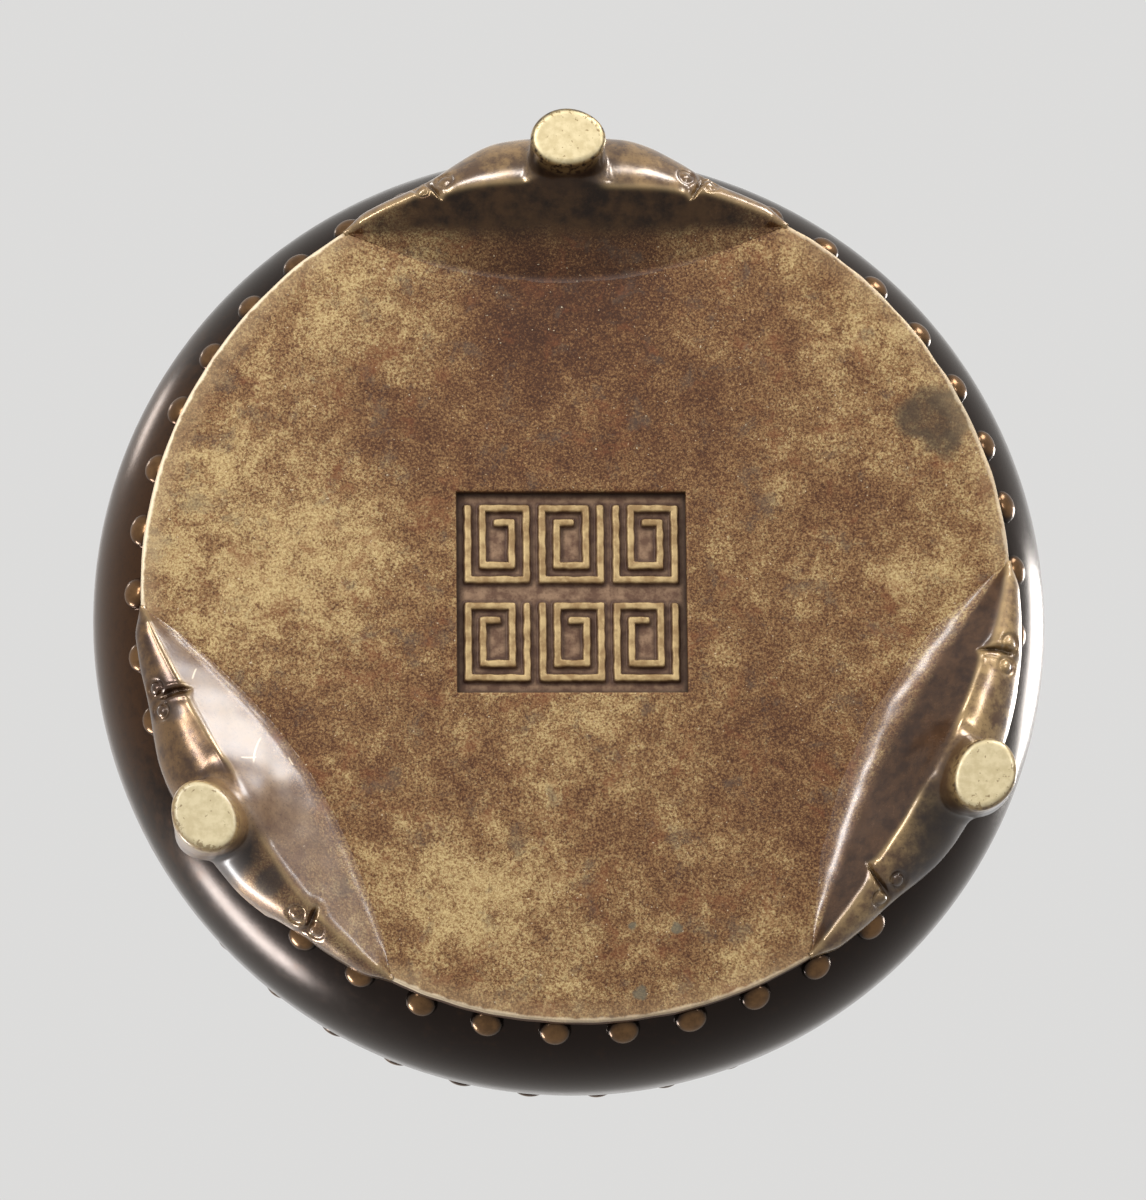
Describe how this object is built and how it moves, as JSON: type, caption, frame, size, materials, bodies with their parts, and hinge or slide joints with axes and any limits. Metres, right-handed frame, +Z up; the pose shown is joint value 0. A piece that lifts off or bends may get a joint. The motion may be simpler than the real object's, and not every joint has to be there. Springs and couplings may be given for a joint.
{
  "type": "incense burner",
  "caption": "Drum-shaped tripod incense burner in patinated bronze: bulging bowl with bossed edges, flat mouth ring and cloud-shaped feet.",
  "frame": {"origin": "on the floor, at the middle of the bounding box's underside, which is on the vessel's axis", "axes": "+Z up along the vessel's axis, out of its mouth; -Y towards the front foot; +X to the right"},
  "size_m": [0.16, 0.16, 0.065],
  "materials": {
    "dark_bronze": "dark chocolate patina, softly polished",
    "base_patina": "mottled golden brown, matte",
    "tablet_ground": "dull red-brown ground with rubbed relief",
    "worn_bronze": "brown patina worn through to pale metal on the soles"
  },
  "bodies": {
    "root": {"bowl_wall": "dark_bronze", "mouth_ring": "dark_bronze", "lower_boss_hoop": "dark_bronze", "upper_boss_hoop": "dark_bronze", "base_plate": "base_patina", "base_tablet": "tablet_ground", "front_foot": "worn_bronze", "right_foot": "worn_bronze", "left_foot": "worn_bronze"}
  },
  "joints": []
}
